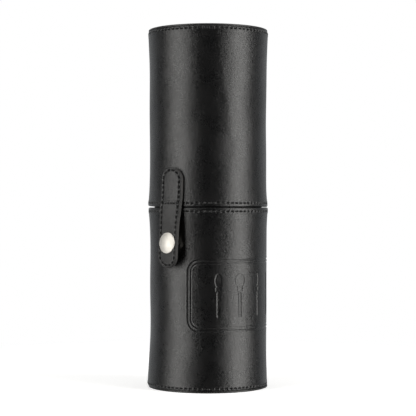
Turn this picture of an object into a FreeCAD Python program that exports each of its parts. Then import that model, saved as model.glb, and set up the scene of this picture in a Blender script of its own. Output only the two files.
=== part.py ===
import FreeCAD, Part
import math
import os
import Sketcher

# A round tube case for long slim brushes, in two leather-covered cups.  The lower cup has an inner
# tube that stands up as a collar; the lid slides over it.  A strap sewn to the lid folds down over
# the joint and holds on a press stud.  Z is up, the origin is the centre of the underside, and the
# strap is on the -Y side.  All lengths are in millimetres.

doc = FreeCAD.newDocument("BrushTube")

# ---------------------------------------------------------------- driving dimensions
SIZES = [
    ("case_height", 220.0, "underside to top"),
    ("seam_height", 110.5, "top of the lower cup's leather rim"),
    ("seam_gap", 0.4, "between the two leather rims"),
    ("outer_radius", 36.0, "over the leather, half way up a cup"),
    ("rim_flare", 1.15, "how much further out the sewn ends stand"),
    ("flare_height", 12.0, "height over which an end flares"),
    ("wrap_leather", 0.8, "leather round the cups"),
    ("rim_turn", 1.3, "leather turned over the board's end at the seam"),
    ("disc_leather", 1.2, "leather discs at the two ends"),
    ("disc_round", 0.8, "rounding of a disc's outer edge"),
    ("base_board", 2.0, "wall of the lower cup's board tube"),
    ("lid_board", 1.4, "wall of the lid's board tube"),
    ("end_board", 2.0, "floor board and top board"),
    ("collar_board", 1.2, "wall of the inner tube"),
    ("collar_leather", 0.4, "thin leather over the collar"),
    ("collar_rise", 30.0, "collar above the lower cup's rim"),
    ("collar_tuck", 20.0, "collar leather below the rim"),
    ("collar_clearance", 0.3, "radial, collar to lid"),
    ("lining", 0.3, "lining cloth"),
    ("floor_pad", 2.0, "pad in the bottom of the lower cup"),
    ("ceiling_pad", 1.5, "pad under the lid's top"),
    ("thread_radius", 0.2, "sewing thread"),
    ("thread_lift", 0.03, "thread above the leather"),
    ("foot_stitch", 2.7, "stitching above the underside"),
    ("top_stitch", 2.4, "stitching below the top"),
    ("rim_stitch", 2.3, "stitching in from each rim at the seam"),
    ("strap_front", 1.2, "front leather of the strap"),
    ("strap_back", 1.0, "backing leather of the strap"),
    ("strap_stitch_inset", 1.6, "edge stitching in from the strap's edge"),
    ("strap_border", 1.05, "strap's edge outside the press-stud cap"),
    ("strap_stitch_clear", 0.1, "end of the edge stitching to the cap's rim"),
    ("anchor_length", 21.7, "sewn part of the strap above the fold"),
    ("flap_length", 38.4, "loose part of the strap below the fold"),
    ("fold_height", 2.1, "strap's fold above the lid's lower edge"),
    ("fold_offset", 0.3, "fold axis in front of the flap's face"),
    ("fold_gap", 0.3, "from the fold axis to each half of the strap"),
    ("flap_clearance", 0.3, "flap to the sewn rims"),
    ("snap_drop", 23.7, "fold to the middle of the press stud"),
    ("snap_clear", 0.55, "stud's tip to the socket's mouth, strap unsnapped"),
    ("cap_radius", 6.25, "press-stud cap"),
    ("cap_rise", 1.9, "height of the cap"),
    ("cap_rim", 0.5, "straight edge of the cap"),
    ("cap_metal", 0.45, "sheet metal of the cap"),
    ("post_radius", 1.5, "post behind the cap"),
    ("post_head_radius", 4.6, "head of the post inside the cap"),
    ("post_head", 0.4, "thickness of the post's head"),
    ("socket_radius", 5.2, "socket behind the flap"),
    ("socket_height", 1.45, "socket from the flap's back to its mouth"),
    ("socket_plate", 0.4, "plate of the socket against the leather"),
    ("socket_lip", 0.35, "lip at the socket's mouth"),
    ("socket_float", 0.35, "socket's mouth above the stud's flange, snapped"),
    ("spring_slack", 0.05, "ring spring to each face of its groove"),
    ("stud_flange_radius", 4.0, "flange of the stud on the wall"),
    ("stud_flange", 0.5, "thickness of that flange"),
    ("stud_neck_radius", 1.75, "neck of the stud"),
    ("stud_bulge", 0.35, "how far the stud's head stands out from its neck"),
    ("stud_tip_gap", 0.3, "stud's tip to the socket's plate, snapped"),
    ("snap_play", 0.3, "radial, stud's head to the socket's mouth"),
    ("rivet_radius", 1.2, "rivet through the wall"),
    ("rivet_head_radius", 3.5, "rivet head inside the wall"),
    ("rivet_head", 0.6, "thickness of the rivet head"),
    ("metal_play", 0.05, "round a post or rivet in its hole"),
]

sheet = doc.addObject("Spreadsheet::Sheet", "Sizes")
for row, (alias, value, note) in enumerate(SIZES, start=1):
    sheet.set(f"A{row}", alias)
    sheet.set(f"B{row}", str(value))
    sheet.set(f"C{row}", note)
    sheet.setAlias(f"B{row}", alias)
doc.recompute()

# Sizes that follow from the sheet, as expressions the features are bound to.
S = "Sizes."
LID_RIM = f"({S}seam_height + {S}seam_gap)"
RIM_RADIUS = f"({S}outer_radius + {S}rim_flare)"
BOARD_OUTER = f"({S}outer_radius - {S}wrap_leather)"
BASE_INNER = f"({BOARD_OUTER} - {S}base_board)"
LID_LINED = f"({BASE_INNER} + {S}collar_clearance)"
LID_INNER = f"({LID_LINED} + {S}lining)"
TUBE_OUTER = f"({BASE_INNER} - {S}collar_leather)"
TUBE_INNER = f"({TUBE_OUTER} - {S}collar_board)"
CUP_RADIUS = f"({TUBE_INNER} - {S}lining)"
LID_BOARD_OUTER = f"({LID_INNER} + {S}lid_board)"
COLLAR_TOP = f"({S}seam_height + {S}collar_rise)"
LID_TOP = f"({S}case_height - {S}disc_leather)"
FLOOR_TOP = f"({S}disc_leather + {S}end_board)"
CEILING = f"({LID_TOP} - {S}end_board)"
STRAP = f"({S}strap_front + {S}strap_back)"
HALF_STRAP = f"({S}cap_radius + {S}strap_border)"

# The fold is an axis along X just in front of the flap.  Snapped home, the flap's tilt is the one
# that the stud and socket stack gives; at rest the socket's mouth has just cleared the stud's tip.
FOLD_Z = f"({LID_RIM} + {S}fold_height)"
FOLD_Y = f"({RIM_RADIUS} + {S}flap_clearance + {STRAP} + {S}fold_offset)"
FLAP_START = f"({S}rim_flare + {S}flap_clearance)"
SNAP_STACK = f"({S}stud_flange + {S}socket_float + {S}socket_height)"
STUD_TIP = f"({SNAP_STACK} - {S}socket_plate - {S}stud_tip_gap)"
REST_STANDOFF = f"({STUD_TIP} + {S}snap_clear + {S}socket_height)"
REST_TILT = f"atan(({REST_STANDOFF} - {FLAP_START}) / {S}snap_drop)"
HOME_TILT = f"atan(({SNAP_STACK} - {FLAP_START}) / {S}snap_drop)"
SOCKET_DEPTH = f"({S}fold_offset + {STRAP} + {S}socket_height / 2)"
STUD_Z = f"({FOLD_Z} - {S}snap_drop * cos({HOME_TILT}) - {SOCKET_DEPTH} * sin({HOME_TILT}))"
STUD_HEAD_RADIUS = f"({S}stud_neck_radius + {S}stud_bulge)"


def number(expression):
    """The present value of an expression on the sheet, as a plain number."""
    return float(sheet.evalExpression(expression))


# ---------------------------------------------------------------- ways of making a piece
def new_body(label):
    body = doc.addObject("PartDesign::Body", label)
    body.Label = label
    return body


def new_sketch(body, name, plane="XZ_Plane", shift=None):
    """A sketch on one of the body's own planes, moved along the plane's normal by an expression."""
    sketch = body.newObject("Sketcher::SketchObject", name)
    origin_plane = [part for part in body.Origin.OriginFeatures if part.Role == plane][0]
    sketch.AttachmentSupport = [(origin_plane, "")]
    sketch.MapMode = "FlatFace"
    if shift is not None:
        sketch.setExpression("AttachmentOffset.Base.z", shift)
    return sketch


def dimension(sketch, direction, geometry, point, expression):
    """Dimension a sketch point from the origin, or put it on the axis where the size is nought."""
    value = number(expression)
    if abs(value) < 1e-9:
        axis = -1 if direction == "DistanceY" else -2
        sketch.addConstraint(Sketcher.Constraint("PointOnObject", geometry, point, axis))
        return
    if value > 0:
        rule = Sketcher.Constraint(direction, -1, 1, geometry, point, value)
        index = sketch.addConstraint(rule)
        sketch.setExpression(f"Constraints[{index}]", expression)
        return
    rule = Sketcher.Constraint(direction, geometry, point, -1, 1, -value)
    index = sketch.addConstraint(rule)
    sketch.setExpression(f"Constraints[{index}]", f"-({expression})")


def draw_outline(sketch, corners):
    """A closed outline through corners of (radius, height) expressions, each corner dimensioned."""
    points = [FreeCAD.Vector(number(across), number(up), 0) for across, up in corners]
    count = len(points)
    for index, start in enumerate(points):
        sketch.addGeometry(Part.LineSegment(start, points[(index + 1) % count]), False)
    for index in range(count):
        sketch.addConstraint(Sketcher.Constraint("Coincident", index, 2, (index + 1) % count, 1))
    for index, (across, up) in enumerate(corners):
        dimension(sketch, "DistanceX", index, 1, across)
        dimension(sketch, "DistanceY", index, 1, up)


def turned(label, corners):
    """A piece turned about the Z axis from an outline of (radius, height) corners."""
    body = new_body(label)
    sketch = new_sketch(body, label + "_outline")
    draw_outline(sketch, corners)
    doc.recompute()
    turn = body.newObject("PartDesign::Revolution", label + "_turn")
    turn.Profile = sketch
    turn.ReferenceAxis = (sketch, ["V_Axis"])
    turn.Angle = 360
    body.Tip = turn
    doc.recompute()
    return body


def round_edges(body, radius, height, size):
    """Round the circular edges of a turned body that lie at one radius and height."""
    wanted_radius = number(radius)
    wanted_height = number(height)
    names = []
    for index, edge in enumerate(body.Shape.Edges, start=1):
        if not hasattr(edge.Curve, "Radius"):
            continue
        same_radius = abs(edge.Curve.Radius - wanted_radius) < 1e-4
        same_height = abs(edge.Curve.Center.z - wanted_height) < 1e-4
        if same_radius and same_height:
            names.append(f"Edge{index}")
    turned_solid = body.Tip
    rounding = body.newObject("PartDesign::Fillet", body.Label + "_round")
    rounding.Base = (turned_solid, names)
    rounding.setExpression("Radius", size)
    body.Tip = rounding
    doc.recompute()


def tube(label, inner, outer, low, high):
    return turned(label, [(inner, low), (outer, low), (outer, high), (inner, high)])


def disc(label, radius, low, high):
    return turned(label, [("0", low), (radius, low), (radius, high), ("0", high)])


def add_tongue(sketch, half_width, square_end, round_centre):
    """A closed outline with one square end and one half-round end, centred on the sketch's Y axis."""
    half = number(half_width)
    square = number(square_end)
    centre = number(round_centre)
    bow_is_above = centre > square
    first_angle = 0 if bow_is_above else math.pi
    circle = Part.Circle(FreeCAD.Vector(0, centre, 0), FreeCAD.Vector(0, 0, 1), half)
    right_square = FreeCAD.Vector(half, square, 0)
    left_square = FreeCAD.Vector(-half, square, 0)
    right_round = FreeCAD.Vector(half, centre, 0)
    left_round = FreeCAD.Vector(-half, centre, 0)
    across = sketch.addGeometry(Part.LineSegment(left_square, right_square), False)
    right = sketch.addGeometry(Part.LineSegment(right_square, right_round), False)
    bow = sketch.addGeometry(Part.ArcOfCircle(circle, first_angle, first_angle + math.pi), False)
    left = sketch.addGeometry(Part.LineSegment(left_round, left_square), False)
    bow_right, bow_left = (1, 2) if bow_is_above else (2, 1)
    rules = [
        ("Coincident", across, 2, right, 1),
        ("Tangent", right, 2, bow, bow_right),
        ("Tangent", left, 1, bow, bow_left),
        ("Coincident", left, 2, across, 1),
        ("Horizontal", across),
        ("Vertical", right),
        ("PointOnObject", bow, 3, -2),
    ]
    for rule in rules:
        sketch.addConstraint(Sketcher.Constraint(*rule))
    dimension(sketch, "DistanceY", across, 1, square_end)
    dimension(sketch, "DistanceY", bow, 3, round_centre)
    dimension(sketch, "DistanceX", right, 1, half_width)


def add_hole(sketch, radius, height):
    """A round hole on the sketch's Y axis."""
    index = len(sketch.Geometry)
    middle = FreeCAD.Vector(0, number(height), 0)
    sketch.addGeometry(Part.Circle(middle, FreeCAD.Vector(0, 0, 1), number(radius)), False)
    sketch.addConstraint(Sketcher.Constraint("PointOnObject", index, 3, -2))
    dimension(sketch, "DistanceY", index, 3, height)
    rule = sketch.addConstraint(Sketcher.Constraint("Radius", index, number(radius)))
    sketch.setExpression(f"Constraints[{rule}]", radius)


def add_pad(body, sketch, length):
    pad = body.newObject("PartDesign::Pad", body.Label + "_pad")
    pad.Profile = sketch
    pad.setExpression("Length", length)
    body.Tip = pad
    doc.recompute()


def bore_wall(body, name, radius, depth):
    """Cut a round hole from the case's axis outwards on the strap's side, to a depth from the axis."""
    before = body.Shape.Volume
    sketch = new_sketch(body, name + "_circle")
    add_hole(sketch, radius, STUD_Z)
    doc.recompute()
    pocket = body.newObject("PartDesign::Pocket", name)
    pocket.Profile = sketch
    pocket.Reversed = True
    pocket.setExpression("Length", depth)
    body.Tip = pocket
    doc.recompute()
    if body.Shape.Volume >= before:
        raise RuntimeError(f"{name} cuts nothing")


def thread_ring(label, radius, height, gap_half_width=None):
    """A run of sewing thread round the case, open behind the strap where a half width is given."""
    ring = doc.addObject("Part::Torus", label)
    ring.Label = label
    ring.setExpression("Radius1", f"{radius} + {S}thread_radius * 1.02 + {S}thread_lift")
    ring.setExpression("Radius2", f"{S}thread_radius")
    ring.setExpression("Placement.Base.z", height)
    if gap_half_width is not None:
        gap = f"asin({gap_half_width} / {S}outer_radius)"
        ring.setExpression("Angle3", f"360 deg - 2 * {gap}")
        ring.Placement.Rotation = FreeCAD.Rotation(FreeCAD.Vector(0, 0, 1), -90 + number(gap))
        ring.setExpression("Placement.Rotation.Angle", f"-90 deg + {gap}")
    return ring


def flap_point(across, along):
    """Where a point of the flap lies: across towards the wall, along down from the fold."""
    from_axis = f"(-{FOLD_Y} + {across} * cos({REST_TILT}) - {along} * sin({REST_TILT}))"
    height = f"({FOLD_Z} - {along} * cos({REST_TILT}) - {across} * sin({REST_TILT}))"
    return from_axis, height


def place(piece, from_axis, height, turn):
    """Put a piece on the strap's side, turned about X, with its place bound to the sheet."""
    piece.Placement.Rotation = FreeCAD.Rotation(FreeCAD.Vector(1, 0, 0), number(turn))
    piece.setExpression("Placement.Base.y", from_axis)
    piece.setExpression("Placement.Base.z", height)
    piece.setExpression("Placement.Rotation.Angle", turn)
    doc.recompute()


nodes = []

# ---------------------------------------------------------------- lower cup
# The board tube stands on the leather disc; the rivet head of the press stud is let into its bore.
base_board_tube = tube(
    "base_board_tube", BASE_INNER, BOARD_OUTER, f"{S}disc_leather", f"{S}seam_height - {S}rim_turn"
)
RIVET_HOLE = f"({S}rivet_radius + {S}metal_play)"
HEAD_POCKET = f"({S}rivet_head_radius + {S}metal_play)"
bore_wall(base_board_tube, "base_board_rivet_hole", RIVET_HOLE, f"{S}outer_radius + {S}rim_flare")
bore_wall(base_board_tube, "base_board_head_pocket", HEAD_POCKET, f"{BASE_INNER} + {S}rivet_head * 1.2")
nodes.append(base_board_tube)

# The leather goes round the tube, flares at both sewn ends and turns in over the board at the rim.
base_wrap = turned("base_wrap", [
    (BOARD_OUTER, f"{S}disc_leather"),
    (RIM_RADIUS, f"{S}disc_leather"),
    (f"{S}outer_radius", f"{S}disc_leather + {S}flare_height"),
    (f"{S}outer_radius", f"{S}seam_height - {S}flare_height"),
    (RIM_RADIUS, f"{S}seam_height"),
    (BASE_INNER, f"{S}seam_height"),
    (BASE_INNER, f"{S}seam_height - {S}rim_turn"),
    (BOARD_OUTER, f"{S}seam_height - {S}rim_turn"),
])
round_edges(base_wrap, RIM_RADIUS, f"{S}seam_height", f"{S}wrap_leather * 0.6")
bore_wall(base_wrap, "base_wrap_rivet_hole", RIVET_HOLE, f"{S}outer_radius + {S}rim_flare")
nodes.append(base_wrap)

base_bottom_cover = disc("base_bottom_cover", RIM_RADIUS, "0", f"{S}disc_leather")
round_edges(base_bottom_cover, RIM_RADIUS, "0", f"{S}disc_round")
nodes.append(base_bottom_cover)

nodes.append(disc("base_floor_board", BASE_INNER, f"{S}disc_leather", FLOOR_TOP))
nodes.append(disc("base_floor_pad", CUP_RADIUS, FLOOR_TOP, f"{FLOOR_TOP} + {S}floor_pad"))

# The inner tube runs the depth of the cup and stands up as the collar that the lid slides over.
nodes.append(tube("collar_tube", TUBE_INNER, TUBE_OUTER, FLOOR_TOP, f"{COLLAR_TOP} - {S}collar_leather"))
nodes.append(turned("collar_cover", [
    (TUBE_OUTER, f"{S}seam_height - {S}collar_tuck"),
    (BASE_INNER, f"{S}seam_height - {S}collar_tuck"),
    (BASE_INNER, COLLAR_TOP),
    (CUP_RADIUS, COLLAR_TOP),
    (CUP_RADIUS, f"{COLLAR_TOP} - {S}collar_leather"),
    (TUBE_OUTER, f"{COLLAR_TOP} - {S}collar_leather"),
]))
nodes.append(tube("base_lining", CUP_RADIUS, TUBE_INNER, FLOOR_TOP, f"{COLLAR_TOP} - {S}collar_leather"))


def flared(distance):
    """Radius over the leather at a distance in from a sewn end."""
    return f"({S}outer_radius + {S}rim_flare * (1 - ({distance}) / {S}flare_height))"


nodes.append(thread_ring(
    "base_foot_stitching", flared(f"{S}foot_stitch - {S}disc_leather"), f"{S}foot_stitch"
))
nodes.append(thread_ring(
    "base_rim_stitching", flared(f"{S}rim_stitch"), f"{S}seam_height - {S}rim_stitch"
))

# ---------------------------------------------------------------- press stud on the lower cup
HEAD_START = f"({S}stud_flange + ({STUD_TIP} - {S}stud_flange) * 0.4)"
HEAD_FULL = f"({S}stud_flange + ({STUD_TIP} - {S}stud_flange) * 0.6)"
RIVET_REACH = f"({STUD_TIP} * 0.65)"
snap_stud = turned("snap_stud", [
    (RIVET_HOLE, "0"),
    (f"{S}stud_flange_radius", "0"),
    (f"{S}stud_flange_radius", f"{S}stud_flange"),
    (f"{S}stud_neck_radius", f"{S}stud_flange"),
    (f"{S}stud_neck_radius", HEAD_START),
    (STUD_HEAD_RADIUS, HEAD_FULL),
    (f"{S}stud_neck_radius", STUD_TIP),
    ("0", STUD_TIP),
    ("0", f"{RIVET_REACH} + {S}metal_play"),
    (RIVET_HOLE, f"{RIVET_REACH} + {S}metal_play"),
])
place(snap_stud, f"-{S}outer_radius", STUD_Z, "90")
nodes.append(snap_stud)

# The rivet's origin is on the bore of the board tube, with its head let into the board.
WALL = f"({S}outer_radius - {BASE_INNER})"
stud_rivet = turned("stud_rivet", [
    ("0", f"{S}rivet_head * 0.1"),
    (f"{S}rivet_head_radius", f"{S}rivet_head * 0.1"),
    (f"{S}rivet_head_radius", f"{S}rivet_head * 1.1"),
    (f"{S}rivet_radius", f"{S}rivet_head * 1.1"),
    (f"{S}rivet_radius", f"{WALL} + {RIVET_REACH}"),
    ("0", f"{WALL} + {RIVET_REACH}"),
])
place(stud_rivet, f"-{BASE_INNER}", STUD_Z, "90")
nodes.append(stud_rivet)

# ---------------------------------------------------------------- lid
nodes.append(tube(
    "lid_board_tube", LID_INNER, LID_BOARD_OUTER, f"{LID_RIM} + {S}rim_turn", LID_TOP
))
lid_wrap = turned("lid_wrap", [
    (LID_BOARD_OUTER, f"{LID_RIM} + {S}rim_turn"),
    (LID_LINED, f"{LID_RIM} + {S}rim_turn"),
    (LID_LINED, LID_RIM),
    (RIM_RADIUS, LID_RIM),
    (f"{S}outer_radius", f"{LID_RIM} + {S}flare_height"),
    (f"{S}outer_radius", f"{LID_TOP} - {S}flare_height"),
    (RIM_RADIUS, LID_TOP),
    (LID_BOARD_OUTER, LID_TOP),
])
round_edges(lid_wrap, RIM_RADIUS, LID_RIM, f"{S}wrap_leather * 0.6")
nodes.append(lid_wrap)

lid_top_cover = disc("lid_top_cover", RIM_RADIUS, LID_TOP, f"{S}case_height")
round_edges(lid_top_cover, RIM_RADIUS, f"{S}case_height", f"{S}disc_round")
nodes.append(lid_top_cover)

nodes.append(disc("lid_top_board", LID_INNER, CEILING, LID_TOP))
nodes.append(disc("lid_ceiling_pad", LID_LINED, f"{CEILING} - {S}ceiling_pad", CEILING))
nodes.append(tube("lid_lining", LID_LINED, LID_INNER, f"{LID_RIM} + {S}rim_turn", CEILING))
nodes.append(thread_ring(
    "lid_top_stitching", flared(f"{S}top_stitch - {S}disc_leather"), f"{S}case_height - {S}top_stitch"
))
nodes.append(thread_ring(
    "lid_rim_stitching", flared(f"{S}rim_stitch"), f"{LID_RIM} + {S}rim_stitch", f"({HALF_STRAP} + 1)"
))

# ---------------------------------------------------------------- sewn part of the strap
# Each layer is the slice of a turned shell, following the flare of the lid, that lies behind a
# tongue outline: square at the fold and half round at the top.
ANCHOR_LOW = f"({FOLD_Z} + {S}fold_gap)"
ANCHOR_BOW = f"({FOLD_Z} + {S}anchor_length - {HALF_STRAP})"
SHELL_TOP = f"({FOLD_Z} + {S}anchor_length + 1)"


def wall_shell(label, inner, outer):
    """A turned shell over the lid's leather, from and to an offset from its surface."""
    low = flared(f"{ANCHOR_LOW} - {LID_RIM}")
    knee = f"{LID_RIM} + {S}flare_height"
    return turned(label, [
        (f"{low} + {inner}", ANCHOR_LOW),
        (f"{low} + {outer}", ANCHOR_LOW),
        (f"{S}outer_radius + {outer}", knee),
        (f"{S}outer_radius + {outer}", SHELL_TOP),
        (f"{S}outer_radius + {inner}", SHELL_TOP),
        (f"{S}outer_radius + {inner}", knee),
    ])


def anchor_layer(label, inner, outer, tongues):
    """The part of a wall shell inside the first tongue and outside the second, if there is one."""
    shell = wall_shell(label + "_shell", inner, outer)
    cutter = new_body(label + "_tongue")
    sketch = new_sketch(cutter, label + "_tongue_outline")
    for half_width, square_end in tongues:
        add_tongue(sketch, half_width, square_end, ANCHOR_BOW)
    doc.recompute()
    add_pad(cutter, sketch, f"{S}outer_radius * 2")
    layer = doc.addObject("Part::Common", label)
    layer.Label = label
    layer.Base = shell
    layer.Tool = cutter
    doc.recompute()
    return layer


STITCH_OUT = f"({HALF_STRAP} - {S}strap_stitch_inset + {S}thread_radius)"
STITCH_IN = f"({HALF_STRAP} - {S}strap_stitch_inset - {S}thread_radius)"
THREAD = f"({S}thread_radius * 2)"
STITCH_LOW = f"({ANCHOR_LOW} + {S}thread_radius * 2)"

nodes.append(anchor_layer("strap_anchor_backing", "0", f"{S}strap_back", [(HALF_STRAP, ANCHOR_LOW)]))
nodes.append(anchor_layer("strap_anchor", f"{S}strap_back", STRAP, [(HALF_STRAP, ANCHOR_LOW)]))
nodes.append(anchor_layer(
    "strap_anchor_stitching", f"{STRAP} + {S}thread_lift", f"{STRAP} + {S}thread_lift + {THREAD}",
    [(STITCH_OUT, STITCH_LOW), (STITCH_IN, f"{STITCH_LOW} + {THREAD}")]
))

# ---------------------------------------------------------------- loose flap of the strap
FLAP_TOP = f"(-{S}fold_gap)"
FLAP_BOW = f"(-({S}flap_length - {HALF_STRAP}))"
POST_HOLE = f"({S}post_radius + {S}metal_play)"


def flap_layer(label, back, thickness, tongues, hole=None):
    """A flat layer of the flap, its back face a distance behind the fold axis."""
    body = new_body(label)
    sketch = new_sketch(body, label + "_outline", shift=f"-({back})")
    for half_width, square_end in tongues:
        add_tongue(sketch, half_width, square_end, FLAP_BOW)
    if hole is not None:
        add_hole(sketch, hole, f"-{S}snap_drop")
    doc.recompute()
    add_pad(body, sketch, thickness)
    place(body, f"-{FOLD_Y}", FOLD_Z, f"-({REST_TILT})")
    return body


FRONT_BACK = f"({S}fold_offset + {S}strap_front)"
nodes.append(flap_layer(
    "strap_flap_backing", f"{S}fold_offset + {STRAP}", f"{S}strap_back", [(HALF_STRAP, FLAP_TOP)], POST_HOLE
))
nodes.append(flap_layer("strap_flap", FRONT_BACK, f"{S}strap_front", [(HALF_STRAP, FLAP_TOP)], POST_HOLE))
FLAP_STITCH_TOP = f"({FLAP_TOP} - {THREAD})"
flap_stitch_ring = flap_layer(
    "flap_stitch_ring", f"{S}fold_offset", f"{S}fold_offset * 0.6",
    [(STITCH_OUT, FLAP_STITCH_TOP), (STITCH_IN, f"{FLAP_STITCH_TOP} - {THREAD}")]
)

# ---------------------------------------------------------------- press-stud cap, post and socket
# These share one frame: its origin is on the flap's back and +Z points out through the cap.
SNAP_Y, SNAP_Z = flap_point(f"({S}fold_offset + {STRAP})", f"{S}snap_drop")
SNAP_TURN = f"90 deg - {REST_TILT}"
DOME_RISE = f"({S}cap_rise - {S}cap_rim)"
DOME_RADIUS = f"(({S}cap_radius ^ 2 + {DOME_RISE} ^ 2) / (2 * {DOME_RISE}))"
CAP_INSIDE = f"({S}cap_radius - {S}cap_metal)"
INSIDE_RISE = f"({DOME_RISE} * 0.9)"
INSIDE_RADIUS = f"(({CAP_INSIDE} ^ 2 + {INSIDE_RISE} ^ 2) / (2 * {INSIDE_RISE}))"
CAP_TOP = f"({STRAP} + {S}cap_rise)"


def dome(label, radius, low, high, ball_radius):
    """A short cylinder whose top is part of a ball: one of the two surfaces of the domed cap."""
    barrel = doc.addObject("Part::Cylinder", label + "_barrel")
    barrel.setExpression("Radius", radius)
    barrel.setExpression("Height", f"{high} - {low} + 1")
    barrel.setExpression("Placement.Base.z", low)
    ball = doc.addObject("Part::Sphere", label + "_ball")
    ball.setExpression("Radius", ball_radius)
    ball.setExpression("Placement.Base.z", f"{high} - {ball_radius}")
    both = doc.addObject("Part::Common", label)
    both.Base = barrel
    both.Tool = ball
    doc.recompute()
    return both


# The flap's stitching stops at the cap and goes on below it.
cap_clearance = doc.addObject("Part::Cylinder", "cap_clearance")
cap_clearance.setExpression("Radius", f"{S}cap_radius + {S}strap_stitch_clear")
cap_clearance.setExpression("Height", f"{STRAP} * 2")
place(cap_clearance, SNAP_Y, SNAP_Z, SNAP_TURN)
strap_flap_stitching = doc.addObject("Part::Cut", "strap_flap_stitching")
strap_flap_stitching.Label = "strap_flap_stitching"
strap_flap_stitching.Base = flap_stitch_ring
strap_flap_stitching.Tool = cap_clearance
nodes.append(strap_flap_stitching)

snap_cap = doc.addObject("Part::Cut", "snap_cap")
snap_cap.Label = "snap_cap"
snap_cap.Base = dome("cap_outside", f"{S}cap_radius", STRAP, CAP_TOP, DOME_RADIUS)
snap_cap.Tool = dome("cap_inside", CAP_INSIDE, STRAP, f"{CAP_TOP} - {S}cap_metal", INSIDE_RADIUS)
doc.recompute()

cap_post = turned("cap_post", [
    ("0", f"-{S}socket_plate"),
    (f"{S}post_radius", f"-{S}socket_plate"),
    (f"{S}post_radius", STRAP),
    (f"{S}post_head_radius", STRAP),
    (f"{S}post_head_radius", f"{STRAP} + {S}post_head"),
    ("0", f"{STRAP} + {S}post_head"),
])

LIP = f"({S}socket_height - {S}socket_lip)"
WIRE = f"(({LIP} - {S}socket_plate) / 2 - {S}spring_slack)"
MOUTH_RADIUS = f"({STUD_HEAD_RADIUS} + {S}snap_play)"
SPRING_RADIUS = f"({MOUTH_RADIUS} + {WIRE} * 0.85)"
GROOVE_RADIUS = f"({SPRING_RADIUS} + {WIRE} * 1.5)"
snap_socket = turned("snap_socket", [
    (POST_HOLE, "0"),
    (f"{S}socket_radius", "0"),
    (f"{S}socket_radius", f"-{LIP}"),
    (f"{S}socket_radius - {S}socket_lip", f"-{S}socket_height"),
    (MOUTH_RADIUS, f"-{S}socket_height"),
    (MOUTH_RADIUS, f"-{LIP}"),
    (GROOVE_RADIUS, f"-{LIP}"),
    (GROOVE_RADIUS, f"-{S}socket_plate"),
    (POST_HOLE, f"-{S}socket_plate"),
])
for piece in (snap_cap, cap_post, snap_socket):
    place(piece, SNAP_Y, SNAP_Z, SNAP_TURN)
    nodes.append(piece)

# The split ring lies in the socket's groove, half way between its plate and its lip.
snap_spring = doc.addObject("Part::Torus", "snap_spring")
snap_spring.Label = "snap_spring"
snap_spring.setExpression("Radius1", SPRING_RADIUS)
snap_spring.setExpression("Radius2", WIRE)
snap_spring.Angle3 = 330
SPRING_BACK = f"({S}fold_offset + {STRAP} + ({S}socket_plate + {LIP}) / 2)"
SPRING_Y, SPRING_Z = flap_point(SPRING_BACK, f"{S}snap_drop")
place(snap_spring, SPRING_Y, SPRING_Z, SNAP_TURN)
nodes.append(snap_spring)

# ---------------------------------------------------------------- check and write
doc.recompute()
for item in doc.Objects:
    if "Invalid" in item.State or "Error" in item.State:
        raise RuntimeError(f"{item.Name} failed: {item.State}")
for node in nodes:
    if node.Shape.isNull() or not node.Shape.isValid() or not node.Shape.Solids:
        raise RuntimeError(f"{node.Label} has no sound solid")

os.makedirs("parts", exist_ok=True)
for node in nodes:
    node.Shape.exportStep(f"parts/{node.Label}.step")
    print(f"{node.Label:26s} {node.Shape.Volume:12.2f} mm3  {len(node.Shape.Solids)} solid(s)")
print(f"fold axis at y {-number(FOLD_Y):.3f}, z {number(FOLD_Z):.3f}")
print(f"flap tilt: rest {number(REST_TILT):.3f}, snapped {number(HOME_TILT):.3f} degrees")
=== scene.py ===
import math
from collections import namedtuple
import bpy
import numpy as np
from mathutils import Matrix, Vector


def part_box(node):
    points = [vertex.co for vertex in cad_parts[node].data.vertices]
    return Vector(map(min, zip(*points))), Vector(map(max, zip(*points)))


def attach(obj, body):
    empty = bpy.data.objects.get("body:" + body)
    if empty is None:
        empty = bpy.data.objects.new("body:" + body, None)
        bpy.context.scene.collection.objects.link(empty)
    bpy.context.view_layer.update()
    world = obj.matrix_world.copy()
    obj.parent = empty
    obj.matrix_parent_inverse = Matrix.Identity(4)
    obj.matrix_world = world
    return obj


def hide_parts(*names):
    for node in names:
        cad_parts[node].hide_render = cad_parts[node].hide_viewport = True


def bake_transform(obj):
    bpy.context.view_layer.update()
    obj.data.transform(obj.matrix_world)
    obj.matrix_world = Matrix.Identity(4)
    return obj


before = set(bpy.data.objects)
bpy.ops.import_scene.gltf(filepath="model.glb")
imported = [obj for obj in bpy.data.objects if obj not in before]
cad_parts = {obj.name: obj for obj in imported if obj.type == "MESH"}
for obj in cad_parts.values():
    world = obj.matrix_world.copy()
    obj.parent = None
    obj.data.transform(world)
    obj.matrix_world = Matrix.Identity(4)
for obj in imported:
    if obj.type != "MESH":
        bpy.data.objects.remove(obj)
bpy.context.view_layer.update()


# ---------------------------------------------------------------- leather round the two cups
# Each cup is a board tube with smooth black leather drawn round it.  The leather is sewn to a
# leather disc at the closed end, and at the seam it is turned in over the board and sewn through.

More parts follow.
